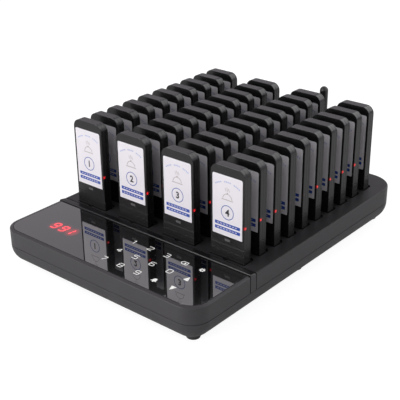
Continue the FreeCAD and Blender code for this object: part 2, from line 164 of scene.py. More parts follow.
class BaseSizes(bpy.types.PropertyGroup):
    """Sizes and colours of the base that a user would change."""

    slot_depth: bpy.props.FloatProperty(
        name="Slot depth", description="Length of each slot, front to rear, in millimetres", default=20.0)
    slot_gap: bpy.props.FloatProperty(
        name="Slot gap", description="Gap between a pager and its slot in millimetres", default=1.0)
    notch_width: bpy.props.FloatProperty(
        name="Notch width", description="Width of the finger notch in each slot in millimetres", default=7.4)
    notch_depth: bpy.props.FloatProperty(
        name="Notch depth", description="Depth of the finger notch in each slot in millimetres", default=2.2)
    casing: bpy.props.FloatVectorProperty(
        name="Casing", description="Colour of the charcoal mouldings", subtype="COLOR", size=3,
        default=(0.050, 0.0475, 0.051))
    glass: bpy.props.FloatVectorProperty(
        name="Glass", description="Colour under the console's glass", subtype="COLOR", size=3,
        default=(0.004, 0.004, 0.0045))
    digit_text: bpy.props.StringProperty(
        name="Display", description="Digits shown on the number display", default="991")


class Form:
    """Collects surfaces, in millimetres, and turns them into one mesh in metres."""

    def __init__(self):
        self.points = []
        self.faces = []
        self.marks = []
        self.count = 0

    def add(self, points, faces, mark=0):
        """Adds points and faces, all with one material mark."""
        self.points.append(np.asarray(points, float))
        self.faces.extend([tuple(int(i) + self.count for i in face) for face in faces])
        self.marks.extend([mark] * len(faces))
        self.count += len(points)

    def shell(self, rings, mark=0, loop=False):
        """Skins closed rings of shape (stations, points, 3) with quads. Flat caps close the two ends, or the
        last ring joins the first. The faces are turned round where the signed volume comes out negative, so
        that they point outwards."""
        rings = np.asarray(rings, float)
        stations, number = rings.shape[:2]
        faces = [tuple(quad) for quad in quad_grid(stations, number, loop=loop)]
        if not loop:
            faces.append(tuple(range(number))[::-1])
            faces.append(tuple(range((stations - 1) * number, stations * number)))
        points = rings.reshape(-1, 3)
        if signed_volume(points, faces) < 0:
            faces = [face[::-1] for face in faces]
        self.add(points, faces, mark)

    def sheet(self, rings):
        """Skins open rows of points with quads that face the other way from those of a shell."""
        rings = np.stack(rings)
        quads = quad_grid(*rings.shape[:2], closed=False)
        self.add(rings.reshape(-1, 3), quads[:, [0, 3, 2, 1]])

    def remark(self, mark, test):
        """Gives another material mark to the faces that pass a test of their first corner and their normal,
        which is the cross product of the first two sides."""
        points = np.concatenate(self.points)
        first = np.array([face[:3] for face in self.faces])
        corner = points[first[:, 0]]
        normal = np.cross(points[first[:, 1]] - corner, points[first[:, 2]] - corner)
        normal /= np.maximum(np.linalg.norm(normal, axis=1), 1e-9)[:, None]
        for index in np.nonzero(test(corner, normal))[0]:
            self.marks[index] = mark

    def mesh(self, name, materials, merge=0.0):
        """Writes the mesh, smooth but for its sharp edges, and makes its object. Points nearer to each other
        than the merge distance become one."""
        data = bpy.data.meshes.new(name)
        points = np.concatenate(self.points) * MM
        data.from_pydata(points.tolist(), [], self.faces)
        data.polygons.foreach_set("material_index", np.array(self.marks, np.int32))
        data.polygons.foreach_set("use_smooth", np.ones(len(self.faces), bool))
        if merge > 0:
            weld(data, merge * MM)
        data.set_sharp_from_angle(angle=math.radians(SHARP_ANGLE))
        data.update()
        made = bpy.data.objects.new(name, data)
        bpy.context.scene.collection.objects.link(made)
        for material in materials:
            data.materials.append(material)
        weighted = made.modifiers.new("weighted_normals", "WEIGHTED_NORMAL")
        weighted.keep_sharp = True
        return made


def quad_grid(stations, number, closed=True, loop=False):
    """Quads over a grid of points numbered ring by ring. Each quad joins two neighbours on a ring to the same
    two on the next ring. A closed ring joins its last point to its first, and a loop its last ring to its
    first."""
    bands = np.arange(stations if loop else stations - 1)
    steps = np.arange(number if closed else number - 1)
    i, j = np.meshgrid(bands, steps, indexing="ij")
    k, up = (j + 1) % number, (i + 1) % stations
    quads = [i * number + j, i * number + k, up * number + k, up * number + j]
    return np.stack(quads, -1).reshape(-1, 4)


def signed_volume(points, faces):
    """The sum over all faces, split into fans, of a third of each triangle's base dot its first corner."""
    total = 0.0
    by_size = {}
    for face in faces:
        by_size.setdefault(len(face), []).append(face)
    for group in by_size.values():
        corner = points[np.array(group)]
        first = corner[:, :1]
        total += np.sum(first * np.cross(corner[:, 1:-1] - first, corner[:, 2:] - first))
    return total


def weld(data, distance):
    """Merges points of a mesh that lie within a distance of each other."""
    work = bmesh.new()
    work.from_mesh(data)
    bmesh.ops.remove_doubles(work, verts=work.verts, dist=distance)
    work.to_mesh(data)
    work.free()


def corner_ring(x0, x1, y0, y1, radii, steps=8):
    """Points anticlockwise round a rectangle from its right front corner. Each corner is a quarter circle:
    its centre lies one radius in from both sides, and the radii go right front, right rear, left rear and
    left front."""
    corners = ((x1, y0, 1, -1, -90), (x1, y1, 1, 1, 0), (x0, y1, -1, 1, 90), (x0, y0, -1, -1, 180))
    parts = []
    for (x, y, side, end, start), radius in zip(corners, radii):
        angle = np.radians(start + np.linspace(0, 90, steps + 1))
        centre = np.array([x - side * radius, y - end * radius])
        parts.append(centre + radius * np.stack([np.cos(angle), np.sin(angle)], -1))
    return np.concatenate(parts)


def raised(ring, z):
    """A flat ring of points lifted to one height."""
    return np.column_stack([ring, np.full(len(ring), z)])


def quarter(start, end, steps, bulge):
    """Points from start to end on a quarter of an ellipse. It leaves along the second axis and arrives along
    the first if bulge is true, and the other way round if not."""
    t = np.linspace(0, math.pi / 2, steps + 1)
    first, second = (1 - np.cos(t), np.sin(t)) if bulge else (np.sin(t), 1 - np.cos(t))
    start, end = np.array(start), np.array(end)
    return start + (end - start) * np.stack([first, second], -1)


def rounded_block(form, x, y, z, radii, edges, axis=2, mark=0, steps=4, arc_steps=8):
    """A block whose outline across one axis has round corners and whose two ends each have a rounded edge.
    The outline is drawn in by 1 - sin t of the edge while it rises by 1 - cos t of it, and back again."""
    spans = [x, y, z]
    along = spans[axis]
    u, v = [spans[k] for k in range(3) if k != axis]
    t = np.linspace(0, math.pi / 2, steps)
    inset = np.concatenate([edges[0] * (1 - np.sin(t)), edges[1] * (1 - np.cos(t))])
    place = np.concatenate([along[0] + edges[0] * (1 - np.cos(t)), along[1] - edges[1] * (1 - np.sin(t))])
    rings = []
    for d, w in zip(inset, place):
        corners = [max(r - d, SMALLEST_R) for r in radii]
        ring = corner_ring(u[0] + d, u[1] - d, v[0] + d, v[1] - d, corners, arc_steps)
        full = np.empty((len(ring), 3))
        full[:, [k for k in range(3) if k != axis]] = ring
        full[:, axis] = w
        rings.append(full)
    form.shell(rings, mark)


def turned(form, profile, centre, number=48, axis=2):
    """A profile of radius and height turned round Z or Y, by the cos and sin of the angle."""
    profile = np.asarray(profile, float)
    angle = np.linspace(0, 2 * math.pi, number, endpoint=False)
    across = profile[:, :1] * np.cos(angle)
    aside = profile[:, :1] * np.sin(angle)
    height = np.repeat(profile[:, 1:], number, 1)
    order = {2: (across, aside, height), 1: (across, height, aside)}[axis]
    form.shell(np.stack(order, -1) + np.array(centre))


def stroke(form, path, width, place, thickness=0.05, mark=0, closed=False):
    """A flat ribbon of even width along a path in a plane. Its two rims lie half a width to each side of
    the path, along the normal of its mean direction. place turns plane points and a lift into space."""
    path = np.asarray(path, float)
    if closed:
        ahead = np.roll(path, -1, 0) - np.roll(path, 1, 0)
    else:
        ahead = np.gradient(path, axis=0)
    ahead /= np.linalg.norm(ahead, axis=1)[:, None]
    side = np.stack([-ahead[:, 1], ahead[:, 0]], -1) * width / 2
    left, right = path + side, path - side
    rings = np.stack([place(left, 0), place(right, 0), place(right, thickness), place(left, thickness)], 1)
    form.shell(rings, mark, loop=closed)


def patch(form, outline, place, thickness=0.05, mark=0):
    """A thin flat plate with a convex outline."""
    outline = np.asarray(outline, float)
    form.shell(np.stack([place(outline, 0), place(outline, thickness)]), mark)


def circle(centre, radius, number=40, start=0.0, end=360.0):
    """Points on an arc round a centre between two angles in degrees, the last left out of a full circle."""
    whole = abs(end - start - 360) < 1e-6
    angle = np.radians(np.linspace(start, end, number, endpoint=not whole))
    return np.array(centre) + radius * np.stack([np.cos(angle), np.sin(angle)], -1)


def lettering(form, text, size, middle, place, thickness=0.05, mark=0, bold=0.0):
    """Plain numerals from the built-in typeface, made a mesh, centred on a point and laid in a plane."""
    curve = bpy.data.curves.new("numeral", "FONT")
    curve.body = text
    curve.size = 1.0
    curve.resolution_u = 3
    curve.offset = bold
    curve.extrude = 0.01
    holder = bpy.data.objects.new("numeral", curve)
    bpy.context.scene.collection.objects.link(holder)
    bpy.context.view_layer.update()
    data = bpy.data.meshes.new_from_object(holder.evaluated_get(bpy.context.evaluated_depsgraph_get()))
    points = np.empty(len(data.vertices) * 3)
    data.vertices.foreach_get("co", points)
    points = points.reshape(-1, 3)
    lowest, highest = points.min(0), points.max(0)
    scale = size / (highest[1] - lowest[1])
    flat = (points[:, :2] - (lowest[:2] + highest[:2]) / 2) * scale + np.array(middle)
    lift = np.where(points[:, 2] > 0, thickness, 0.0)
    form.add(place(flat, lift), [tuple(face.vertices) for face in data.polygons], mark)
    bpy.data.objects.remove(holder)
    bpy.data.meshes.remove(data)
    bpy.data.curves.remove(curve)


class Sum:
    """A number socket in a material, on which + - * add Math nodes."""

    def __init__(self, paint, socket):
        self.paint = paint
        self.socket = socket

    def _with(self, operation, first, second):
        return self.paint.number("ShaderNodeMath", {"operation": operation}, {0: first, 1: second})

    def __add__(self, other):
        return self._with("ADD", self, other)

    def __sub__(self, other):
        return self._with("SUBTRACT", self, other)

    def __rsub__(self, other):
        return self._with("SUBTRACT", other, self)

    def __mul__(self, other):
        return self._with("MULTIPLY", self, other)

    __radd__ = __add__
    __rmul__ = __mul__


class Paint:
    """A material under construction: one Principled shader and the nodes that feed it."""

    def __init__(self, name, color, roughness, metallic=0.0, **constants):
        self.material = bpy.data.materials.new(name)
        self.material.use_nodes = True
        self.tree = self.material.node_tree
        self.shader = self.tree.nodes["Principled BSDF"]
        self.output = self.tree.nodes["Material Output"]
        self.set("Base Color", tuple(color) + (1.0,))
        self.set("Roughness", roughness)
        self.set("Metallic", metallic)
        for socket, value in constants.items():
            self.set(socket.replace("_", " "), value)
        self.place = self.node("ShaderNodeTexCoord", {}, {}).outputs["Object"]

    def set(self, socket, value):
        """Sets a constant on the shader, or links what feeds it."""
        self.feed(self.shader.inputs[socket], value)

    def feed(self, target, value):
        """Puts a value or a link into a socket."""
        if isinstance(value, Sum):
            value = value.socket
        if isinstance(value, bpy.types.NodeSocket):
            self.tree.links.new(value, target)
        else:
            target.default_value = value

    def node(self, kind, settings, inputs):
        """Adds a node: its settings first, then the values or links of its sockets."""
        made = self.tree.nodes.new(kind)
        for name, value in settings.items():
            setattr(made, name, value)
        for socket, value in inputs.items():
            self.feed(made.inputs[socket], value)
        return made

    def number(self, kind, settings, inputs, output=0):
        """Adds a node and returns one of its outputs as a number to reckon with."""
        return Sum(self, self.node(kind, settings, inputs).outputs[output])

    def noise(self, scale, detail=2.0, stretch=(1.0, 1.0, 1.0)):
        """Cloudy noise on object coordinates, per metre."""
        where = self.node("ShaderNodeMapping", {}, {"Vector": self.place, "Scale": stretch}).outputs[0]
        return self.number("ShaderNodeTexNoise", {}, {"Vector": where, "Scale": scale, "Detail": detail})

    def ramp(self, value, low_end, high_end):
        """A smooth step of a number from 0 at one end to 1 at the other."""
        settings = {"interpolation_type": "SMOOTHSTEP"}
        return self.number("ShaderNodeMapRange", settings, {0: value, 1: low_end, 2: high_end})

    def blend(self, mask, first, second):
        """A colour between two colours."""
        made = self.node("ShaderNodeMix", {"data_type": "RGBA"}, {"Factor": mask})
        made.inputs[6].default_value = tuple(first) + (1.0,)
        made.inputs[7].default_value = tuple(second) + (1.0,)
        return made.outputs[2]

    def shades(self, mask, color, dark, light):
        """Lets the base colour drift between two shades of one colour."""
        shade = self.blend(mask, scaled(color, dark), scaled(color, light))
        self.set("Base Color", shade)
        return shade

    def glow(self, color, strength):
        """Gives the surface a light of its own."""
        self.set("Emission Color", color)
        self.set("Emission Strength", strength)

    def bump(self, height, distance, strength):
        """A bump from a height, in metres, feeding the shader's normal."""
        inputs = {"Height": height, "Distance": distance, "Strength": strength}
        self.set("Normal", self.node("ShaderNodeBump", {}, inputs).outputs[0])


def scaled(color, factor):
    """A colour made lighter or darker."""
    return tuple(channel * factor for channel in color)


def moulded_plastic(name, color, roughness, grain=0.000012, **constants):
    """Moulded plastic: a fine spark-eroded grain under a cloudy gloss."""
    paint = Paint(name, color, roughness, **constants)
    cloud = paint.noise(38.0, 3.0)
    grit = paint.noise(1600.0, 1.0)
    paint.shades(cloud, color, 0.9, 1.1)
    paint.set("Roughness", roughness - 0.05 + cloud * 0.06 + grit * 0.04)
    paint.bump(grit, grain, 0.4)
    return paint.material


def gloss_plastic(name, color, roughness):
    """Polished plastic: cloudy gloss with a few fine hairlines."""
    paint = Paint(name, color, roughness)
    cloud = paint.noise(22.0, 2.0)
    hair = paint.noise(260.0, 2.0, (1.0, 0.06, 1.0))
    paint.shades(cloud, color, 0.85, 1.15)
    paint.set("Roughness", roughness + cloud * 0.03 + paint.ramp(hair, 0.62, 0.7) * 0.08)
    return paint.material


def black_glass(name, color, glow_middles, glow_size):
    """Black glass: deep and even, with fingertip smudges in the gloss and a painted red glow round each
    digit.
    The glow falls off with the distance from the digit's middle, measured in units of its own size."""
    paint = Paint(name, color, 0.02, IOR=1.7, Coat_Weight=1.0, Coat_Roughness=0.01)
    smudge = paint.ramp(paint.noise(34.0, 4.0), 0.55, 0.75)
    fine = paint.noise(900.0, 1.0)
    paint.shades(smudge, color, 1.0, 1.6)
    paint.set("Roughness", 0.015 + smudge * 0.03 + fine * 0.01)
    # Painted glow: the glass gives off red light of its own round each digit
    haze = 0.0
    for x, y in glow_middles:
        inputs = {"Vector": paint.place, "Location": (-x * MM, -y * MM, 0.0)}
        centred = paint.node("ShaderNodeMapping", {}, inputs).outputs[0]
        squash = {"Vector": centred, "Scale": (1 / (glow_size[0] * MM), 1 / (glow_size[1] * MM), 0.0)}
        squashed = paint.node("ShaderNodeMapping", {}, squash).outputs[0]
        reach = paint.number("ShaderNodeVectorMath", {"operation": "LENGTH"}, {0: squashed}, 1)
        haze = haze + (1 - paint.ramp(reach, 0.35, 1.0))
    paint.glow(paint.blend(haze, (0.0, 0.0, 0.0), (0.32, 0.004, 0.007)), 0.8)
    return paint.material


def printed_card(name, color):
    """Printed card under clear film: faint paper fibre in the colour and a clean gloss over it."""
    paint = Paint(name, color, 0.30, Coat_Weight=0.5, Coat_Roughness=0.06)
    fibre = paint.noise(700.0, 3.0, (1.0, 1.0, 0.4))
    cloud = paint.noise(30.0, 2.0)
    paint.shades(fibre * 0.5 + cloud * 0.5, color, 0.95, 1.03)
    paint.set("Roughness", 0.26 + fibre * 0.08)
    return paint.material


def ink(name, color, strength=0.0):
    """Print: slightly uneven colour, and a light of its own where it is lit from behind."""
    paint = Paint(name, color, 0.35)
    cloud = paint.noise(420.0, 2.0)
    shade = paint.shades(cloud, color, 0.88, 1.08)
    paint.set("Roughness", 0.3 + cloud * 0.1)
    if strength > 0:
        paint.glow(shade, strength)
    return paint.material


def light_window(name, color, strength):
    """A tinted light window, slightly uneven, and lit from behind where it has a strength."""
    paint = Paint(name, color, 0.12, Coat_Weight=0.3)
    cloud = paint.noise(600.0, 1.0)
    shade = paint.shades(cloud, color, 0.8, 1.1)
    paint.set("Roughness", 0.1 + cloud * 0.08)
    if strength > 0:
        paint.glow(shade, strength)
    return paint.material


def rubber(name, color):
    """Rubber: matt, with a coarse grain and pale scuffs."""
    paint = Paint(name, color, 0.8)
    grit = paint.noise(900.0, 3.0)
    scuff = paint.ramp(paint.noise(120.0, 4.0), 0.5, 0.75)
    paint.shades(scuff, color, 1.0, 1.7)
    paint.set("Roughness", 0.7 + grit * 0.2)
    paint.bump(grit, 0.00004, 0.6)
    return paint.material


def turned_metal(name, color, roughness):
    """Turned metal: fine rings in the gloss and a light tarnish."""
    paint = Paint(name, color, roughness, 1.0)
    rings = paint.noise(1500.0, 2.0, (0.05, 0.05, 1.0))
    tarnish = paint.noise(160.0, 3.0)
    paint.shades(tarnish, color, 0.75, 1.1)
    paint.set("Roughness", roughness + rings * 0.12 + tarnish * 0.08)
    paint.bump(rings, 0.00001, 0.5)
    return paint.material


def circuit_board(name):
    """A circuit board: green mask over a faint lattice of copper tracks."""
    green = (0.012, 0.11, 0.045)
    paint = Paint(name, green, 0.3)
    settings = {"wave_type": "BANDS", "bands_direction": "X"}
    inputs = {"Vector": paint.place, "Scale": 90.0, "Distortion": 3.0, "Detail": 1.0}
    track = paint.ramp(paint.number("ShaderNodeTexWave", settings, inputs, 1), 0.7, 0.8)
    paint.set("Base Color", paint.blend(track, green, (0.03, 0.2, 0.08)))
    paint.set("Roughness", 0.28 + track * 0.08)
    paint.bump(track, 0.00003, 0.6)
    return paint.material


MATERIALS = {}


def make_materials(base, pagers):
    """Every finish of the object, by name."""
    glows = [(x, DIGIT_Y) for x in digit_places(base.digit_text)]
    MATERIALS.update({
        "casing": moulded_plastic("casing", base.casing, 0.42, Specular_IOR_Level=0.35),
        "nose": moulded_plastic("nose", scaled(base.casing, 0.8), 0.24, 0.000005, Specular_IOR_Level=0.4),
        # The deck's top is painted shade: a darker copy of the casing colour, while its walls keep the casing
        # colour
        "deck": moulded_plastic("deck", scaled(base.casing, 0.5), 0.48, 0.00001, Specular_IOR_Level=0.25),
        # The bar's top, front and rear faces are painted shade: a much darker copy of the casing colour; its
        # ends keep the casing colour
        "strip": moulded_plastic("strip", scaled(base.casing, 0.3), 0.3, 0.000005, Specular_IOR_Level=0.15),
        "glass": black_glass("glass", base.glass, glows, GLOW_SIZE),
        "key_print": ink("key_print", (0.86, 0.86, 0.84), 0.45),
        "digit_light": ink("digit_light", (1.0, 0.075, 0.10), 1.1),
        "rubber": rubber("rubber", (0.02, 0.02, 0.021)),
        "pager": moulded_plastic("pager", pagers.plastic, 0.24, 0.000004),
        "pager_core": moulded_plastic("pager_core", (0.006, 0.006, 0.006), 0.6),
        "home_mark": ink("home_mark", (0.085, 0.082, 0.085)),
        "card": printed_card("card", pagers.card),
        "blue_ink": ink("blue_ink", pagers.ink),
        "pale_ink": ink("pale_ink", (0.42, 0.46, 0.70)),
        "grey_ink": ink("grey_ink", (0.42, 0.36, 0.36)),
        "dark_ink": ink("dark_ink", (0.02, 0.02, 0.025)),
        "lit": light_window("lit", (1.0, 0.015, 0.02), 3.0),
        "lit_window": light_window("lit_window", (0.16, 0.006, 0.008), 0.3),
        "window": light_window("window", (0.03, 0.006, 0.007), 0.0),
        "unlit": light_window("unlit", (0.06, 0.01, 0.012), 0.0),
        "antenna": moulded_plastic("antenna", (0.02, 0.02, 0.021), 0.35, 0.000012),
        "brass": turned_metal("brass", (0.72, 0.52, 0.24), 0.25),
        "steel": turned_metal("steel", (0.55, 0.55, 0.57), 0.3),
        "dark_plastic": moulded_plastic("dark_plastic", (0.02, 0.02, 0.022), 0.5),
        "board": circuit_board("board"),
        "display_body": gloss_plastic("display_body", (0.06, 0.008, 0.008), 0.2),
    })


def piece(name, form, materials, body, slot, replaces=(), **options):
    """Makes a piece's object, puts it on its body and hides the nodes that it stands for."""
    made = form.mesh(name, [MATERIALS[key] for key in materials], **options)
    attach(made, body)
    if replaces:
        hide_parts(*replaces)
    return made


def base_ring(inset, z, rear_inset=None, y1=None, steps=14):
    """The plan of the base, or of its front part where y1 is given, drawn in by an inset."""
    rear = inset if rear_inset is None else rear_inset
    square = 0.2
    front_r = max(FRONT_CORNER_R - inset, square)
    rear_r = max(REAR_CORNER_R - inset, square) if y1 is None else square
    ring = corner_ring(-HALF_WIDTH + inset, HALF_WIDTH - inset, FRONT_Y + inset,
                       (REAR_Y if y1 is None else y1) - rear, (front_r, rear_r, rear_r, front_r), steps)
    return raised(ring, z)


def foot_places():
    """The middles of the six feet, from the feet's box. The left front one sits further back."""
    middle_y, setback = 5.5, 12.0
    x = high("feet")[0] - FOOT_R
    front, rear = low("feet")[1] + FOOT_R, high("feet")[1] - FOOT_R
    left = [(-x, front + setback), (-x, middle_y), (-x, rear)]
    return left + [(x, front), (x, middle_y), (x, rear)]


class PAGER_SYSTEM_OT_belly(bpy.types.Operator):
    """Builds the rounded tray of the base with its foot bosses, case screws and rubber feet"""
    bl_idname = "pager_system.belly"
    bl_label = "Tray and feet"

    def execute(self, context):
        self.tray()
        self.feet()
        self.screws()
        return {"FINISHED"}

    def tray(self):
        """The profile starts under the base, follows a quarter circle out to the wall, steps in for the seam
        groove, and goes over the rim and down to the floor inside. It is carried round the plan."""
        lip, cut, groove, groove_z = 0.3, 0.09, 0.7, SEAM_Z - 0.6
        ledge, ledge_z, floor_z = 14.0, 15.0, 6.0
        curve = quarter((0, BELLY_Z), (BELLY_R, BELLY_Z + BELLY_R), 14, False)
        profile = [(BELLY_R - inset, z) for inset, z in curve]
        profile += [(0, groove_z - lip), (cut, groove_z - cut), (lip, groove_z), (groove, groove_z)]
        profile += [(groove, SEAM_Z)]
        profile += [(SHELL_WALL, SEAM_Z), (SHELL_WALL, ledge_z), (ledge, ledge_z), (ledge, floor_z)]
        form = Form()
        form.shell([base_ring(inset, z) for inset, z in profile])
        radius, edge, top = 9.0, 0.4, 10.0
        boss = [(AXIS_R, FOOT_TOP_Z), (radius - edge, FOOT_TOP_Z), (radius, FOOT_TOP_Z + edge), (radius, top),
                (AXIS_R, top)]
        for x, y in foot_places():
            turned(form, boss, (x, y, 0))
        piece("tray", form, ["casing"], "base", "casing", ["lower_shell"])

    def feet(self):
        """Each foot is turned: a flat face with a shallow dimple, a soft edge and a straight side."""
        form = Form()
        dimple = [(AXIS_R, 0.5), (3.0, 0.5), (3.6, 0.0)]
        edge = [(FOOT_R - 0.8, 0.0), (FOOT_R - 0.25, 0.25), (FOOT_R, 0.8)]
        profile = dimple + edge + [(FOOT_R, FOOT_TOP_Z), (AXIS_R, FOOT_TOP_Z)]
        for x, y in foot_places():
            turned(form, profile, (x, y, 0))
        piece("rubber_feet", form, ["rubber"], "base", "foot_rubber", ["feet"])

    def screws(self):
        """Pan-head screws in the flat of the belly, each with its cross recess as a dark inlay, painted shade
        in place of a real recess.
        """
        form = Form()
        reach_x, reach_y, arm, half_slot = 100.0, 150.0, 1.4, 0.25
        head = [(AXIS_R, 3.0), (2.0, 3.0), (2.5, 3.15), (2.6, BELLY_Z), (AXIS_R, BELLY_Z)]
        for x in (-reach_x, reach_x):
            for y in (-reach_y, 0.0, reach_y):
                turned(form, head, (x, y, 0), number=28)
                # The cross is painted shade: two dark bars where the recess would lie in shadow
                for long_x, long_y in ((arm, half_slot), (half_slot, arm)):
                    rounded_block(form, (x - long_x, x + long_x), (y - long_y, y + long_y), (2.96, 3.1),
                                  (0.05,) * 4, (0.02, 0.02), mark=1)
        piece("case_screws", form, ["steel", "pager_core"], "base", "steel_pin")


class PAGER_SYSTEM_OT_console(bpy.types.Operator):
    """Builds the front casing, the dark glass, its key marks and its digits"""
    bl_idname = "pager_system.console"
    bl_label = "Console"

    def execute(self, context):
        self.casing()
        self.glass()
        self.keys()
        self.digits(context.scene.pager_base.digit_text)
        return {"FINISHED"}

    def casing(self):
        """The profile goes down the inside of the wall, under it, up the outside and over a sloping rim to
        the shelf that the glass lies on."""
        y1 = CONSOLE_REAR_Y - EDGE_RELIEF
        inside = GLASS_LOW[2]
        glass_gap = 0.4
        rim = HALF_WIDTH - GLASS_HIGH[0] - glass_gap
        wall = [(SHELL_WALL, END_WALL, inside - 2.0), (SHELL_WALL, END_WALL, SEAM_Z)]
        wall += FOOT_EDGE[::-1]
        wall += [(inset, 0.0, DECK_Z - down) for inset, down in (
            (0.0, 1.75), (0.07, 1.45), (0.25, 1.2), (0.55, 1.02), (rim - 1.0, 0.16), (rim - 0.6, 0.07),
            (rim - 0.2, 0.08))]
        wall += [(rim, 0.02, DECK_Z - 0.3), (rim, 0.04, inside)]
        form = Form()
        form.shell([base_ring(inset, z, rear, y1) for inset, rear, z in wall])
        piece("console_casing", form, ["casing"], "base", "casing", ["console_shell"])

    def glass(self):
        """A flat plate with a fine ground edge."""
        edge, bend, rear_r = 0.25, 0.3, 0.5
        form = Form()
        stations = [(0, GLASS_LOW[2]), (0, DECK_Z - edge), (edge * bend, DECK_Z - edge * bend)]
        rings = []
        for d, z in stations + [(edge, DECK_Z)]:
            front_r = FRONT_CORNER_R - (HALF_WIDTH - GLASS_HIGH[0]) - d
            ring = corner_ring(GLASS_LOW[0] + d, GLASS_HIGH[0] - d, GLASS_LOW[1] + d, GLASS_HIGH[1] - d,
                               (front_r, rear_r, rear_r, front_r), 14)
            rings.append(raised(ring, z))
        form.shell(rings)
        piece("console_glass", form, ["glass"], "base", "black_glass", ["touch_glass"])

    def keys(self):
        """White marks on a grid of five by three: the numerals and five plain signs."""
        form = Form()
        columns = [KEY_PITCH * k for k in range(5)]
        rows = [-137.0, -162.0, -186.5]  # the key rows from the rear, along Y
        for number, text in enumerate("123456789"):
            self.numeral(form, text, (columns[number % 3], rows[number // 3]))
        self.numeral(form, "0", (columns[3], rows[1]))
        self.cancel_sign(form, np.array([columns[3] + 0.8, rows[0] - 0.8]))
        self.gear_sign(form, np.array([columns[4] + 0.4, rows[0] - 0.4]))
        self.arrow_sign(form, np.array([columns[4] + 0.3, rows[1]]), 1)
        self.arrow_sign(form, np.array([columns[4] - 0.3, rows[2] - 1.0]), -1)
        self.call_sign(form, np.array([columns[3], rows[2]]))
        piece("key_marks", form, ["key_print"], "base", "label_card")

    def numeral(self, form, text, middle):
        """One wide thin numeral, drawn as even strokes with round corners on a grid of one by two."""
        unit, grid_middle = np.array([6.4, 3.7]), [0.5, 1.0]
        corner_reach, weight = 1.5, 0.85
        for path, closed in NUMERALS[text]:
            points = (np.array(path, float) - grid_middle) * unit
            stroke(form, eased(points, corner_reach, closed) + middle, weight, on_glass, closed=closed)

    def cancel_sign(self, form, middle):
        """A tag outline with a pointed left end and two strokes crossed in it."""
        tag = np.array([[-4.6, 0.0], [-2.2, -2.8], [4.4, -2.8], [4.4, 2.8], [-2.2, 2.8]])
        stroke(form, eased(tag, 0.7, True) + middle, 0.9, on_glass, closed=True)
        for sign in (-1, 1):
            ends = np.array([[-0.2, -1.3 * sign], [2.4, 1.3 * sign]]) + middle
            stroke(form, ends, 0.7, on_glass, 0.055)

    def gear_sign(self, form, middle):
        """A ring with eight short teeth round it."""
        stroke(form, circle(middle, 2.1), 1.5, on_glass, closed=True)
        for k in range(8):
            angle = math.radians(45 * k)
            ray = np.array([math.cos(angle), math.sin(angle)])
            stroke(form, np.array([ray * 2.4, ray * 3.6]) + middle, 1.2, on_glass, 0.055)

    def arrow_sign(self, form, middle, sign):
        """A filled triangle that points to the rear or to the front."""
        points = np.array([[-3.5, -4.0 * sign], [3.5, -4.0 * sign], [0.0, 4.3 * sign]]) + middle
        patch(form, points, on_glass)

    def call_sign(self, form, middle):
        """A plain bell: a dome, a flared foot and a clapper."""
        dome = np.concatenate([circle((0, 0.8), 2.5, 16, 0, 180), [[-2.8, -1.6], [2.8, -1.6]]]) + middle
        patch(form, dome, on_glass)
        stroke(form, np.array([[-3.9, -2.1], [3.9, -2.1]]) + middle, 0.9, on_glass, 0.055)
        patch(form, circle((0, -3.4), 0.9, 14) + middle, on_glass)

    def digits(self, text):
        """Slanted seven-segment digits, each segment a bar with pointed ends."""
        form = Form()
        size, thick, slant = np.array([7.4, 12.4]), 1.9, 0.14
        for numeral, middle_x in zip(text, digit_places(text)):
            for name in SEGMENTS[numeral]:
                outline = segment_outline(np.array(SEGMENT_ENDS[name]) * size - size / 2, thick)
                outline[:, 0] += outline[:, 1] * slant + middle_x
                outline[:, 1] += DIGIT_Y
                patch(form, outline, on_glass)
        piece("number_digits", form, ["digit_light"], "base", "light_window")


# Strokes of the wide numerals on a grid of one by two, each with whether it is closed
NUMERALS = {
    "0": [([(0, 0), (1, 0), (1, 2), (0, 2)], True)],
    "1": [([(0.3, 1.5), (0.65, 2), (0.65, 0)], False)],
    "2": [([(0, 1.7), (0, 2), (1, 2), (1, 1.1), (0, 0.3), (0, 0), (1.05, 0)], False)],
    "3": [([(0, 2), (1, 2), (1, 0), (0, 0)], False), ([(0.3, 1), (1, 1)], False)],
    "4": [([(0.75, 0), (0.75, 2), (0, 0.6), (1.1, 0.6)], False)],
    "5": [([(1, 2), (0, 2), (0, 1.15), (1, 1.15), (1, 0), (0, 0)], False)],
    "6": [([(1, 2), (0, 2), (0, 0), (1, 0), (1, 1.1), (0, 1.1)], False)],
    "7": [([(0, 2), (1, 2), (0.35, 0)], False)],
    "8": [([(0, 0), (1, 0), (1, 2), (0, 2)], True), ([(0, 1), (1, 1)], False)],
    "9": [([(0, 0), (1, 0), (1, 2), (0, 2), (0, 0.95), (1, 0.95)], False)],
}
# Ends of each segment on a grid of one by one, and the segments of each digit
SEGMENT_ENDS = {
    "top": ((0, 1), (1, 1)), "middle": ((0, 0.5), (1, 0.5)), "bottom": ((0, 0), (1, 0)),
    "upper_left": ((0, 0.5), (0, 1)), "upper_right": ((1, 0.5), (1, 1)),
    "lower_left": ((0, 0), (0, 0.5)), "lower_right": ((1, 0), (1, 0.5)),
    "upper_middle": ((0.5, 0.5), (0.5, 1)), "lower_middle": ((0.5, 0), (0.5, 0.5)),
}
SEGMENTS = {
    "9": ("top", "upper_left", "upper_right", "middle", "lower_right", "bottom"),
    "1": ("upper_middle", "lower_middle"),
}


def digit_places(text):
    """The middle of each digit along X, centred a little to the right of the display's middle."""
    middle = (low("number_display")[0] + high("number_display")[0]) / 2 + DIGIT_SHIFT
    return [middle + (place - (len(text) - 1) / 2) * DIGIT_PITCH for place in range(len(text))]


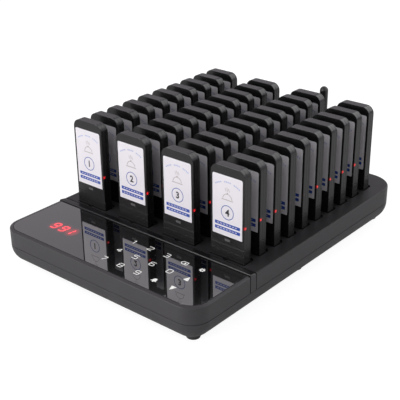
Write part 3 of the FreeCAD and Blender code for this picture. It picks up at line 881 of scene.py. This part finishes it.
def eased(path, radius, closed=False):
    """A path whose corners are replaced by short curves. Each curve starts and ends one radius, or at most
    two fifths of a side, from its corner and is the quadratic spline through the corner's pull."""
    path = np.asarray(path, float)
    number = len(path)
    inner = range(number) if closed else range(1, number - 1)
    points = [] if closed else [path[0]]
    t = np.linspace(0, 1, 6)[:, None]
    for k in inner:
        corner, before, after = path[k], path[k - 1], path[(k + 1) % number]
        reach = [min(radius, 0.4 * np.linalg.norm(other - corner)) for other in (before, after)]
        start = corner + (before - corner) / np.linalg.norm(before - corner) * reach[0]
        end = corner + (after - corner) / np.linalg.norm(after - corner) * reach[1]
        points.extend((1 - t) ** 2 * start + 2 * t * (1 - t) * corner + t ** 2 * end)
    if not closed:
        points.append(path[-1])
    return np.array(points)


def segment_outline(ends, thick):
    """A bar between two points, shortened a little and pointed at both ends."""
    start, end = ends
    along = (end - start) / np.linalg.norm(end - start)
    side = np.array([-along[1], along[0]]) * thick / 2
    near, far = start + along * 0.15, end - along * 0.15
    cut = along * thick / 2
    return np.array([near, near + cut - side, far - cut - side, far, far - cut + side, near + cut + side])


def on_glass(points, lift):
    """Plane points laid on the glass, facing up."""
    points = np.asarray(points, float)
    return np.column_stack([points, np.broadcast_to(DECK_Z + 0.01 + np.asarray(lift), len(points))])


class PAGER_SYSTEM_OT_strip(bpy.types.Operator):
    """Builds the raised bar between the console and the deck"""
    bl_idname = "pager_system.strip"
    bl_label = "Raised bar"

    def execute(self, context):
        """The cross profile has a bevelled nose in front and slopes to the deck behind. It is carried along X
        and drawn down over a quarter circle at both ends. Only its ends reach down to the seam."""
        bevel = 2.0
        t = np.linspace(0, math.pi / 2, 6)
        reach = [-HALF_WIDTH + bevel * (1 - math.sin(a)) for a in t[::-1]]
        drop = [bevel * (1 - math.cos(a)) for a in t[::-1]]
        left = [(x, d, SEAM_Z) for x, d in zip(reach, drop)]
        left += [(-HALF_WIDTH + END_WALL, 0.0, foot_z) for foot_z in (SEAM_Z, RACK_TOP_Z)]
        stations = left + [(-x, d, z) for x, d, z in left[::-1]]
        form = Form()
        form.shell([self.ring(x, d, z) for x, d, z in stations])
        # The ends take the casing colour and the nose a glossier finish; the rest keeps the darker strip
        # copy, which is painted shade
        form.remark(1, lambda corner, normal: np.abs(normal[:, 0]) > 0.5)
        form.remark(2, lambda corner, normal: (normal[:, 1] < -0.5) & (normal[:, 2] > 0.5))
        piece("raised_bar", form, ["strip", "casing", "nose"], "base", "strip", ["bridge_strip"])
        return {"FINISHED"}

    def ring(self, x, drop, foot_z):
        """One cross profile of the bar."""
        nose = 0.45
        top, front, rear = STRIP_TOP_Z - drop, STRIP_FRONT_Y, STRIP_REAR_Y - EDGE_RELIEF
        profile = np.array([[front, top - nose], [front + nose, top], [front + 2.2, top - 0.1],
                            [rear - 0.5, DECK_Z - drop + 0.02], [rear, DECK_Z - drop - 0.5],
                            [rear, foot_z], [front, foot_z]])
        return np.column_stack([np.full(len(profile), x), profile])


def slot_ring(base, segments):
    """One slot outline about the middle of a pager's front edge, anticlockwise from its left front corner.
    Its front edge has a notch on an arc through the edge, its rear corners are quarter circles, and each of
    its four sides has the same number of steps."""
    half = PAGER_WIDTH / 2 + base.slot_gap
    front, rear, corner = -base.slot_gap, base.slot_depth - base.slot_gap, 5.2
    width, depth = base.notch_width, base.notch_depth
    radius = (width * width / 4 + depth * depth) / (2 * depth)
    middle = -1.7
    swing = math.degrees(math.asin(width / 2 / radius))
    notch = circle((middle, front + radius - depth), radius, segments // 2 + 1, -90 - swing, -90 + swing)
    quarter_steps = segments // 4
    flat = np.linspace(-half, notch[0][0], quarter_steps + 1)[:-1]
    other = np.linspace(notch[-1][0], half, quarter_steps + 1)[1:]
    front_side = np.concatenate([np.stack([flat, np.full(quarter_steps, front)], -1), notch,
                                 np.stack([other, np.full(quarter_steps, front)], -1)])
    arc = circle((half - corner, rear - corner), corner, 2 * quarter_steps + 1, 0, 90)
    straight = np.linspace(front, rear - corner, segments - quarter_steps + 1)
    right = np.stack([np.full(len(straight), half), straight], -1)[1:]
    back = np.linspace(half - corner, corner - half, segments - 2 * quarter_steps + 1)[1:]
    rear_side = np.stack([back, np.full(len(back), rear)], -1)
    mirrored = arc[::-1] * [-1, 1]
    left = right[::-1] * [-1, 1]
    return np.concatenate([front_side, right, arc[1:], rear_side, mirrored[1:], left[1:]])


def cell_ring(segments):
    """The rectangle of deck that belongs to one slot, with as many steps a side as the slot has."""
    x0, x1 = -COLUMN_PITCH / 2, COLUMN_PITCH / 2
    y0 = DECK_FRONT_Y - FIRST_ROW_Y
    y1 = y0 + ROW_PITCH
    u = np.linspace(0, 1, segments + 1)[:-1, None]
    corners = np.array([[x0, y0], [x1, y0], [x1, y1], [x0, y1]])
    return np.concatenate([corners[k] + u * (corners[(k + 1) % 4] - corners[k]) for k in range(4)])


def grown(ring, distance):
    """A ring moved outwards along its own normals."""
    ahead = np.roll(ring, -1, 0) - np.roll(ring, 1, 0)
    ahead /= np.linalg.norm(ahead, axis=1)[:, None]
    return ring + np.stack([ahead[:, 1], -ahead[:, 0]], -1) * distance


class PAGER_SYSTEM_OT_deck(bpy.types.Operator):
    """Builds the rear casing with its forty slots"""
    bl_idname = "pager_system.deck"
    bl_label = "Deck"

    def execute(self, context):
        segments = 16
        form = Form()
        self.slots(form, context.scene.pager_base, segments)
        self.surround(form, segments)
        x, y = COLUMNS * COLUMN_PITCH / 2, DECK_FRONT_Y + ROWS * ROW_PITCH
        # Walls outside the block of cells take the casing colour; the top and the slots keep the darker deck
        # copy, which is painted shade
        form.remark(1, lambda corner, normal: (np.abs(normal[:, 2]) < 0.6)
                    & ((np.abs(corner[:, 0]) > x + 1) | (corner[:, 1] > y + 1)))
        piece("deck_casing", form, ["deck", "casing"], "base", "deck", ["deck_shell"], merge=0.002)
        return {"FINISHED"}

    def slots(self, form, base, segments):
        """Each slot is a sleeve: from the edge of its cell in to the slot, over a rounded lip, down through
        the deck and out again underneath. All sleeves are one grid shifted to every cell."""
        slot = slot_ring(base, segments)
        cell = cell_ring(segments)
        lip, bend = 0.45, 0.12
        rings = np.stack([raised(cell, DECK_Z), raised(grown(slot, lip), DECK_Z),
                          raised(grown(slot, bend), DECK_Z - bend), raised(slot, DECK_Z - lip),
                          raised(slot, RACK_TOP_Z), raised(cell, RACK_TOP_Z)])
        quads = quad_grid(*rings.shape[:2])
        for column in range(COLUMNS):
            for row in range(ROWS):
                shift = np.array([FIRST_COLUMN_X + column * COLUMN_PITCH, FIRST_ROW_Y + row * ROW_PITCH, 0])
                form.add((rings + shift).reshape(-1, 3), quads)

    def surround(self, form, segments):
        """The rest of the deck: from the block of cells out to the bevelled edge, down the wall to the seam,
        in and up again inside, and back to the block. Three sides of the block are paired with the plan."""
        bevel = 1.9
        curve = quarter((0, DECK_Z - bevel), (bevel, DECK_Z), 6, True)
        profile = [(d, 0.0, z) for d, z in curve[::-1]]
        profile += FOOT_EDGE + [(SHELL_WALL, END_WALL, SEAM_Z), (SHELL_WALL, END_WALL, RACK_TOP_Z)]
        block = self.block_path(segments)
        paths = [raised(block, DECK_Z)]
        paths += [raised(self.plan_path(inset, front, segments), z) for inset, front, z in profile]
        paths += [raised(block, RACK_TOP_Z)]
        form.sheet(paths)
        self.front_wall(form, paths, segments)

    def block_path(self, segments):
        """Points along the right side, the rear and the left side of the block of cells."""
        x = FIRST_COLUMN_X - COLUMN_PITCH / 2
        y1 = DECK_FRONT_Y + ROWS * ROW_PITCH
        side = np.linspace(DECK_FRONT_Y, y1, ROWS * segments + 1)
        rear = np.linspace(-x, x, COLUMNS * segments + 1)
        right = np.stack([np.full(len(side), -x), side], -1)
        back = np.stack([rear, np.full(len(rear), y1)], -1)
        return np.concatenate([right, back[1:], (right[::-1] * [-1, 1])[1:]])

    def plan_path(self, inset, front, segments):
        """The same number of points along the plan of the base: level with the block's points on the straight
        of each side, then evenly spaced along the rest of the side, the corner arc and the rear."""
        x, y1, radius = HALF_WIDTH - inset, REAR_Y - inset, REAR_CORNER_R - inset
        side_steps, level = ROWS * segments, (ROWS - 1) * segments
        low_y = DECK_FRONT_Y + front
        top_y = DECK_FRONT_Y + level * ROW_PITCH / segments
        straight = np.stack([np.full(level + 1, x), np.linspace(low_y, top_y, level + 1)], -1)
        centre = np.array([x - radius, y1 - radius])
        half_arc = circle(centre, radius, side_steps - level - 3, 0, 45)
        lead = np.stack([np.full(4, x), np.linspace(top_y, centre[1], 5)[1:]], -1)
        right = np.concatenate([straight, lead, half_arc[1:]])
        rear_steps = COLUMNS * segments
        arc_steps = 10
        other_arc = circle(centre, radius, arc_steps + 1, 45, 90)
        back = np.linspace(centre[0], -centre[0], rear_steps - 2 * arc_steps + 1)
        back = np.stack([back, np.full(len(back), y1)], -1)
        rear = np.concatenate([other_arc[1:], back[1:], (other_arc[::-1] * [-1, 1])[1:]])
        return np.concatenate([right, rear, (right[::-1] * [-1, 1])[1:]])

    def front_wall(self, form, paths, segments):
        """The wall that faces the bar: the profile's ends on both sides joined straight across."""
        x = FIRST_COLUMN_X - COLUMN_PITCH / 2
        across = np.linspace(x, -x, COLUMNS * segments + 1)
        left = np.stack([path[-1] for path in paths])
        right = np.stack([path[0] for path in paths])
        rings = []
        for a, b in zip(left, right):
            inner = np.clip(across, a[0], b[0])
            middle = np.column_stack([inner, np.full(len(inner), a[1]), np.full(len(inner), a[2])])
            rings.append(np.concatenate([[a], middle, [b]]))
        form.sheet(rings)


class PAGER_SYSTEM_OT_pagers(bpy.types.Operator):
    """Builds the forty pagers, each a housing with its chin, light window and printed label"""
    bl_idname = "pager_system.pagers"
    bl_label = "Pagers"

    def execute(self, context):
        sizes = context.scene.pager_sizes
        for name in PAGERS:
            number = int(name.split("_")[1]) - 1
            column, row = divmod(number, ROWS)
            corner = (FIRST_COLUMN_X + column * COLUMN_PITCH, FIRST_ROW_Y + row * ROW_PITCH)
            lit = (column, row) in LIT_PAGERS
            self.housing(name, corner, sizes, lit)
            self.label(name, corner, sizes, row * COLUMNS + column + 1)
        return {"FINISHED"}

    def housing(self, name, corner, sizes, lit):
        """The shells with a dark core between them, the window that wraps the right front edge, and a small
        mark under the label."""
        x, y = corner
        half, core, core_r = PAGER_WIDTH / 2, 0.7, 0.5
        form = Form()
        self.shells(form, (x - half, x + half), y, sizes.edge_radius)
        rounded_block(form, (x - half + core, x + half - core), (y + core, y + PAGER_THICKNESS - core),
                      (PAGER_LOW_Z + core, PAGER_TOP_Z - core), (core_r, PAGER_TOP_R, PAGER_TOP_R, core_r),
                      (0.1, 0.1), 1, 1)
        self.window(form, x + half, y)
        half_mark, low_mark, high_mark = 3.7, 22.3, 25.2
        mark = corner_ring(x - half_mark, x + half_mark, DECK_Z + low_mark, DECK_Z + high_mark, (0.6,) * 4, 4)
        patch(form, mark, self.facing(y), 0.04, 3)
        light, window = ("lit", "lit_window") if lit else ("unlit", "window")
        materials = ["pager", "pager_core", light, "home_mark", window]
        piece(name + "_housing", form, materials, name, "pager", [name])

    def shells(self, form, wide, y, edge):
        """A front shell in two bands with a fine line between them, a rear shell, and below the front shell
        a band and a boot."""
        top_r = (0.8, PAGER_TOP_R, PAGER_TOP_R, 0.8)
        chin_z = DECK_Z + CHIN_TOP
        band_z = DECK_Z + CHIN_BAND
        front = (y, y + PAGER_SPLIT - SPLIT_GAP)
        upper = (chin_z + SPLIT_GAP, PAGER_TOP_Z)
        whole = (PAGER_LOW_Z, PAGER_TOP_Z)
        for deep, tall, edges in (
                ((y, y + PAGER_BAND), upper, (edge, LIP)),
                ((y + PAGER_BAND + SPLIT_GAP / 2, front[1]), upper, (CREASE, LIP)),
                ((y + PAGER_SPLIT + SPLIT_GAP, y + PAGER_THICKNESS), whole, (CREASE, edge))):
            rounded_block(form, wide, deep, tall, top_r, edges, 1, steps=2)
        chin_r = (edge, 0.2, 0.2, edge)
        band = ((band_z + SPLIT_GAP, chin_z - SPLIT_GAP), 0.13)
        boot = ((PAGER_LOW_Z, band_z - SPLIT_GAP), 0.05)
        for tall, rim in (band, boot):
            rounded_block(form, wide, front, tall, chin_r, (0.03, rim), steps=2, arc_steps=2)

    def window(self, form, right, y):
        """An L of smoked plastic across the right front edge, with a bright and a faint light behind it."""
        centre = DECK_Z + WINDOW_HEIGHT
        proud, depth, across, ahead, leg, wall = 0.16, 3.4, 1.5, 0.06, 0.6, 0.7
        outline = np.array([[-across, -ahead], [-0.35, -ahead], [proud - 0.1, 0.35], [proud, wall],
                            [proud, depth], [-leg, depth], [-leg, wall], [-across, wall]]) + [right, y]
        rings = [raised(outline, z) for z in (centre - 2.0, centre - 1.8, centre + 1.8, centre + 2.0)]
        form.shell(rings, 4)
        for start, wide, tall in ((0.75, 0.45, 1.4), (2.6, 0.16, 0.9)):
            rounded_block(form, (right - 0.2, right + proud + 0.04), (y + start, y + start + wide),
                          (centre - tall, centre + tall), (wide * 0.45,) * 4, (0.04, 0.04), 0, 2,
                          steps=2, arc_steps=3)

    def facing(self, y):
        """Turns plane points and a lift into points on a pager's front face."""
        def place(points, lift):
            points = np.asarray(points, float)
            depth = np.broadcast_to(y - 0.005 - np.asarray(lift), len(points))
            return np.column_stack([points[:, 0], depth, points[:, 1]])
        return place

    def label(self, name, corner, sizes, number):
        """A thin card on the pager's front and its print, placed from the middle of the card's top."""
        x, y = corner
        z0 = DECK_Z + sizes.label_bottom
        wide, tall, card = sizes.label_width, sizes.label_height, 0.22
        low_r, top_r = 0.6, 2.2
        form = Form()
        rounded_block(form, (x - wide / 2, x + wide / 2), (y - card, y), (z0, z0 + tall),
                      (low_r, top_r, top_r, low_r), (0.06, 0.02), 1, steps=2, arc_steps=5)
        place = self.facing(y - card)
        top = np.array([x, z0 + tall])
        self.ring(form, top + [0, -44.2], str(number), place)
        for down in (59.6, 65.6):
            self.bar(form, top + [0, -down], place)
        self.arch(form, top + [0.5, -7.2], place)
        self.dish(form, top + [0, -24.0], place)
        materials = ["card", "blue_ink", "pale_ink", "grey_ink", "dark_ink"]
        piece(name + "_label", form, materials, name, "label_card")

    def ring(self, form, middle, number, place):
        """A ring round the pager's number."""
        stroke(form, circle(middle, 8.5, 48), 0.85, place, mark=1, closed=True)
        lettering(form, number, 8.6, middle, place, mark=4, bold=0.03)

    def bar(self, form, middle, place):
        """A solid bar with seven dashes in a row on it."""
        left, right, half = 17.6, 18.0, 1.95
        first, pitch, length = -14.4, 4.2, 2.6
        outline = corner_ring(-left, right, -half, half, (0.5,) * 4, 3)
        patch(form, outline + middle, place, mark=1)
        for k in range(7):
            dash = middle + [[first + pitch * k, 0], [first + length + pitch * k, 0]]
            stroke(form, dash, 0.9, place, 0.07)

    def arch(self, form, crown, place):
        """Twelve short dashes on an arc under its crown, in three groups of four."""
        radius, first, step, space, length = 30.0, 125.5, 4.8, 6.6, 3.4
        for k in range(12):
            start = first - step * k - space * (k // 4)
            stroke(form, circle(crown - [0, radius], radius, 3, start, start - length), 1.5, place, mark=2)

    def dish(self, form, middle, place):
        """A dish cover in outline: half a ring, a knob, a tray line and three wisps of steam."""
        stroke(form, circle(middle - [0, 4.0], 6.4, 24, 4, 176), 0.75, place, mark=3)
        stroke(form, np.array([[-8.0, -4.8], [8.0, -4.8]]) + middle, 0.9, place, mark=3)
        patch(form, circle(middle + [0, 3.3], 0.9, 14), place, mark=3)
        for side in (-1, 0, 1):
            rise = np.linspace(0, 1, 9)
            wisp = np.stack([side * 2.4 + 0.7 * np.sin(rise * 6.0), 5.4 + (5.0 - abs(side)) * rise], -1)
            stroke(form, wisp + middle, 0.55, place, mark=3)


class PAGER_SYSTEM_OT_antenna(bpy.types.Operator):
    """Builds the antenna's whip with its eye"""
    bl_idname = "pager_system.antenna"
    bl_label = "Antenna"

    def execute(self, context):
        """The whip is turned about the antenna's axis and has a half-round tip. Its eye is a disc turned
        round Y, and a block joins the two."""
        lowest, highest = low("antenna_mast"), high("antenna_mast")
        x, y = (lowest[0] + highest[0]) / 2, (lowest[1] + highest[1]) / 2
        radius = (highest[0] - lowest[0]) / 2
        tilt = next(joint for joint in frame["joints"] if joint["name"] == "antenna_tilt")
        pivot = tilt["pos_m"][2] / MM
        start, edge = pivot + 6.3, 0.4
        tip = quarter((radius, highest[2] - radius), (AXIS_R, highest[2]), 12, True)
        profile = [(AXIS_R, start), (radius - edge, start), (radius, start + edge)] + [tuple(p) for p in tip]
        form = Form()
        turned(form, profile, (x, y, 0))
        eye, flat, rim, neck = 2.5, 5.0, 5.3, 4.5
        half_disc = [(AXIS_R, -eye), (flat, -eye), (rim, rim - flat - eye)]
        turned(form, half_disc + [(r, -h) for r, h in half_disc[::-1]], (x, y, pivot), axis=1)
        rounded_block(form, (x - neck, x + neck), (y - eye, y + eye), (pivot, start + 0.2), (0.2,) * 4,
                      (0.1, 0.1))
        piece("antenna_whip", form, ["antenna"], "antenna_whip", "antenna_plastic", ["antenna_mast"])
        return {"FINISHED"}


class PAGER_SYSTEM_OT_inside(bpy.types.Operator):
    """Gives the solids that stay as they are their finishes"""
    bl_idname = "pager_system.inside"
    bl_label = "Finishes of the kept solids"

    def execute(self, context):
        finishes = {
            "antenna_socket": "brass", "antenna_swivel": "antenna", "antenna_pin": "steel",
            "touch_board": "board", "main_board": "board", "charging_boards": "board",
            "number_display": "display_body", "sounder": "dark_plastic", "charging_rack": "dark_plastic",
            "charging_contacts": "brass", "power_inlet": "dark_plastic",
        }
        for node, finish in finishes.items():
            slots = NODES[node].data.materials
            slots.clear()
            slots.append(MATERIALS[finish])
        return {"FINISHED"}


def stand(name, data, place, axes):
    """A lamp or camera at a place in metres, turned so that its own X, Y and Z lie along three axes."""
    holder = bpy.data.objects.new(name, data)
    bpy.context.scene.collection.objects.link(holder)
    turn = Matrix(np.column_stack(axes).tolist()).to_4x4()
    holder.matrix_world = Matrix.Translation(place) @ turn
    return holder


class PAGER_SYSTEM_OT_stage(bpy.types.Operator):
    """Sets up the white floor, the soft lamps and the camera at the photograph's view"""
    bl_idname = "pager_system.stage"
    bl_label = "Stage"

    def execute(self, context):
        self.floor()
        self.world(context.scene)
        self.lamps()
        self.camera(context.scene)
        context.scene.view_settings.view_transform = "Standard"
        return {"FINISHED"}

    def floor(self):
        """A wide white plane whose own faint light lifts it to paper white, and keeps the contact shadow."""
        form = Form()
        reach = 6000.0
        corners = [(-reach, -reach, 0), (reach, -reach, 0), (reach, reach, 0), (-reach, reach, 0)]
        form.add(corners, [(0, 1, 2, 3)])
        paint = Paint("floor", (0.8, 0.8, 0.8), 0.9)
        path = paint.node("ShaderNodeLightPath", {}, {})
        seen = Sum(paint, path.outputs["Is Camera Ray"])
        glow = paint.node("ShaderNodeEmission", {}, {"Color": (1.0, 1.0, 1.0, 1.0), "Strength": 1.3})
        inputs = {0: seen * 0.7, 1: paint.shader.outputs[0], 2: glow.outputs[0]}
        mixed = paint.node("ShaderNodeMixShader", {}, inputs)
        paint.tree.links.new(mixed.outputs[0], paint.output.inputs[0])
        form.mesh("floor", [paint.material])

    def world(self, scene):
        """A white surround for the camera and for reflections, and a softer one for lighting."""
        world = bpy.data.worlds.new("surround")
        scene.world = world
        world.use_nodes = True
        tree = world.node_tree
        path = tree.nodes.new("ShaderNodeLightPath")
        shader = tree.nodes["Background"]
        shader.inputs[0].default_value = (1.0, 1.0, 1.0, 1.0)
        shader.inputs[1].default_value = 0.27
        rays = (("Is Glossy Ray", (1.0, 0.94, 1.02, 1.0), 0.6), ("Is Camera Ray", (1.0, 1.0, 1.0, 1.0), 1.0))
        for ray, color, strength in rays:
            bright = tree.nodes.new("ShaderNodeBackground")
            bright.inputs[0].default_value = color
            bright.inputs[1].default_value = strength
            mix = tree.nodes.new("ShaderNodeMixShader")
            tree.links.new(path.outputs[ray], mix.inputs[0])
            tree.links.new(shader.outputs[0], mix.inputs[1])
            tree.links.new(bright.outputs[0], mix.inputs[2])
            shader = mix
        tree.links.new(shader.outputs[0], tree.nodes["World Output"].inputs[0])

    def lamps(self):
        """Four plain soft lamps: a low key at the front left, one above it, a fill on the right, one behind.
        Each faces a point a little above the object's foot."""
        aim = [0, 0, 0.08]
        for name, place, size, power in (
                ("key", (-0.75, -2.3, 0.45), 0.9, 35.5),
                ("top", (-1.05, -1.25, 1.75), 0.8, 10.0),
                ("fill", (1.9, 0.45, 0.8), 1.2, 8.0),
                ("rear", (0.5, 2.1, 1.5), 2.2, 25.0)):
            lamp = bpy.data.lights.new(name, "AREA")
            lamp.size = size
            lamp.energy = power
            back = np.array(place) - aim
            back /= np.linalg.norm(back)
            right = np.cross([0, 0, 1], back)
            right /= np.linalg.norm(right)
            stand(name, lamp, place, [right, np.cross(back, right), back])

    def camera(self, scene):
        """The camera stands where the photograph's straight edges put it. Its back axis follows from its
        azimuth and elevation, and the roll turns the other two about it."""
        azimuth, elevation, roll = (math.radians(a) for a in (40.399, 25.493, -0.663))
        back = np.array([math.sin(azimuth) * math.cos(elevation), -math.cos(azimuth) * math.cos(elevation),
                         math.sin(elevation)])
        right = np.array([math.cos(azimuth), math.sin(azimuth), 0.0])
        up = np.cross(back, right)
        across = right * math.cos(roll) + up * math.sin(roll)
        upright = up * math.cos(roll) - right * math.sin(roll)
        lens = bpy.data.cameras.new("camera")
        lens.sensor_width = 36.0
        lens.lens = 81.96
        lens.clip_start = 0.05
        scene.camera = stand("camera", lens, (0.671869, -0.80677, 0.554567), [across, upright, back])


class VIEW3D_PT_pager_system(bpy.types.Panel):
    """Lists the sizes and the building steps"""
    bl_idname = "VIEW3D_PT_pager_system"
    bl_label = "Pager system"
    bl_space_type = "VIEW_3D"
    bl_region_type = "UI"
    bl_category = "Pager system"

    def draw(self, context):
        for group in (context.scene.pager_base, context.scene.pager_sizes):
            for name in group.bl_rna.properties.keys():
                if name not in ("rna_type", "name"):
                    self.layout.prop(group, name)
        for step in STEPS:
            self.layout.operator(step.bl_idname)


STEPS = (PAGER_SYSTEM_OT_belly, PAGER_SYSTEM_OT_console, PAGER_SYSTEM_OT_strip, PAGER_SYSTEM_OT_deck,
         PAGER_SYSTEM_OT_pagers, PAGER_SYSTEM_OT_antenna, PAGER_SYSTEM_OT_inside, PAGER_SYSTEM_OT_stage)
CLASSES = (PagerSizes, BaseSizes) + STEPS + (VIEW3D_PT_pager_system,)


def register():
    for item in CLASSES:
        bpy.utils.register_class(item)
    bpy.types.Scene.pager_sizes = bpy.props.PointerProperty(type=PagerSizes)
    bpy.types.Scene.pager_base = bpy.props.PointerProperty(type=BaseSizes)


def unregister():
    del bpy.types.Scene.pager_base
    del bpy.types.Scene.pager_sizes
    for item in reversed(CLASSES):
        bpy.utils.unregister_class(item)


def main():
    """Builds everything in order."""
    register()
    make_materials(bpy.context.scene.pager_base, bpy.context.scene.pager_sizes)
    for step in STEPS:
        getattr(bpy.ops.pager_system, step.bl_idname.split(".")[1])()
    bpy.context.view_layer.update()


if __name__ == "__main__":
    main()
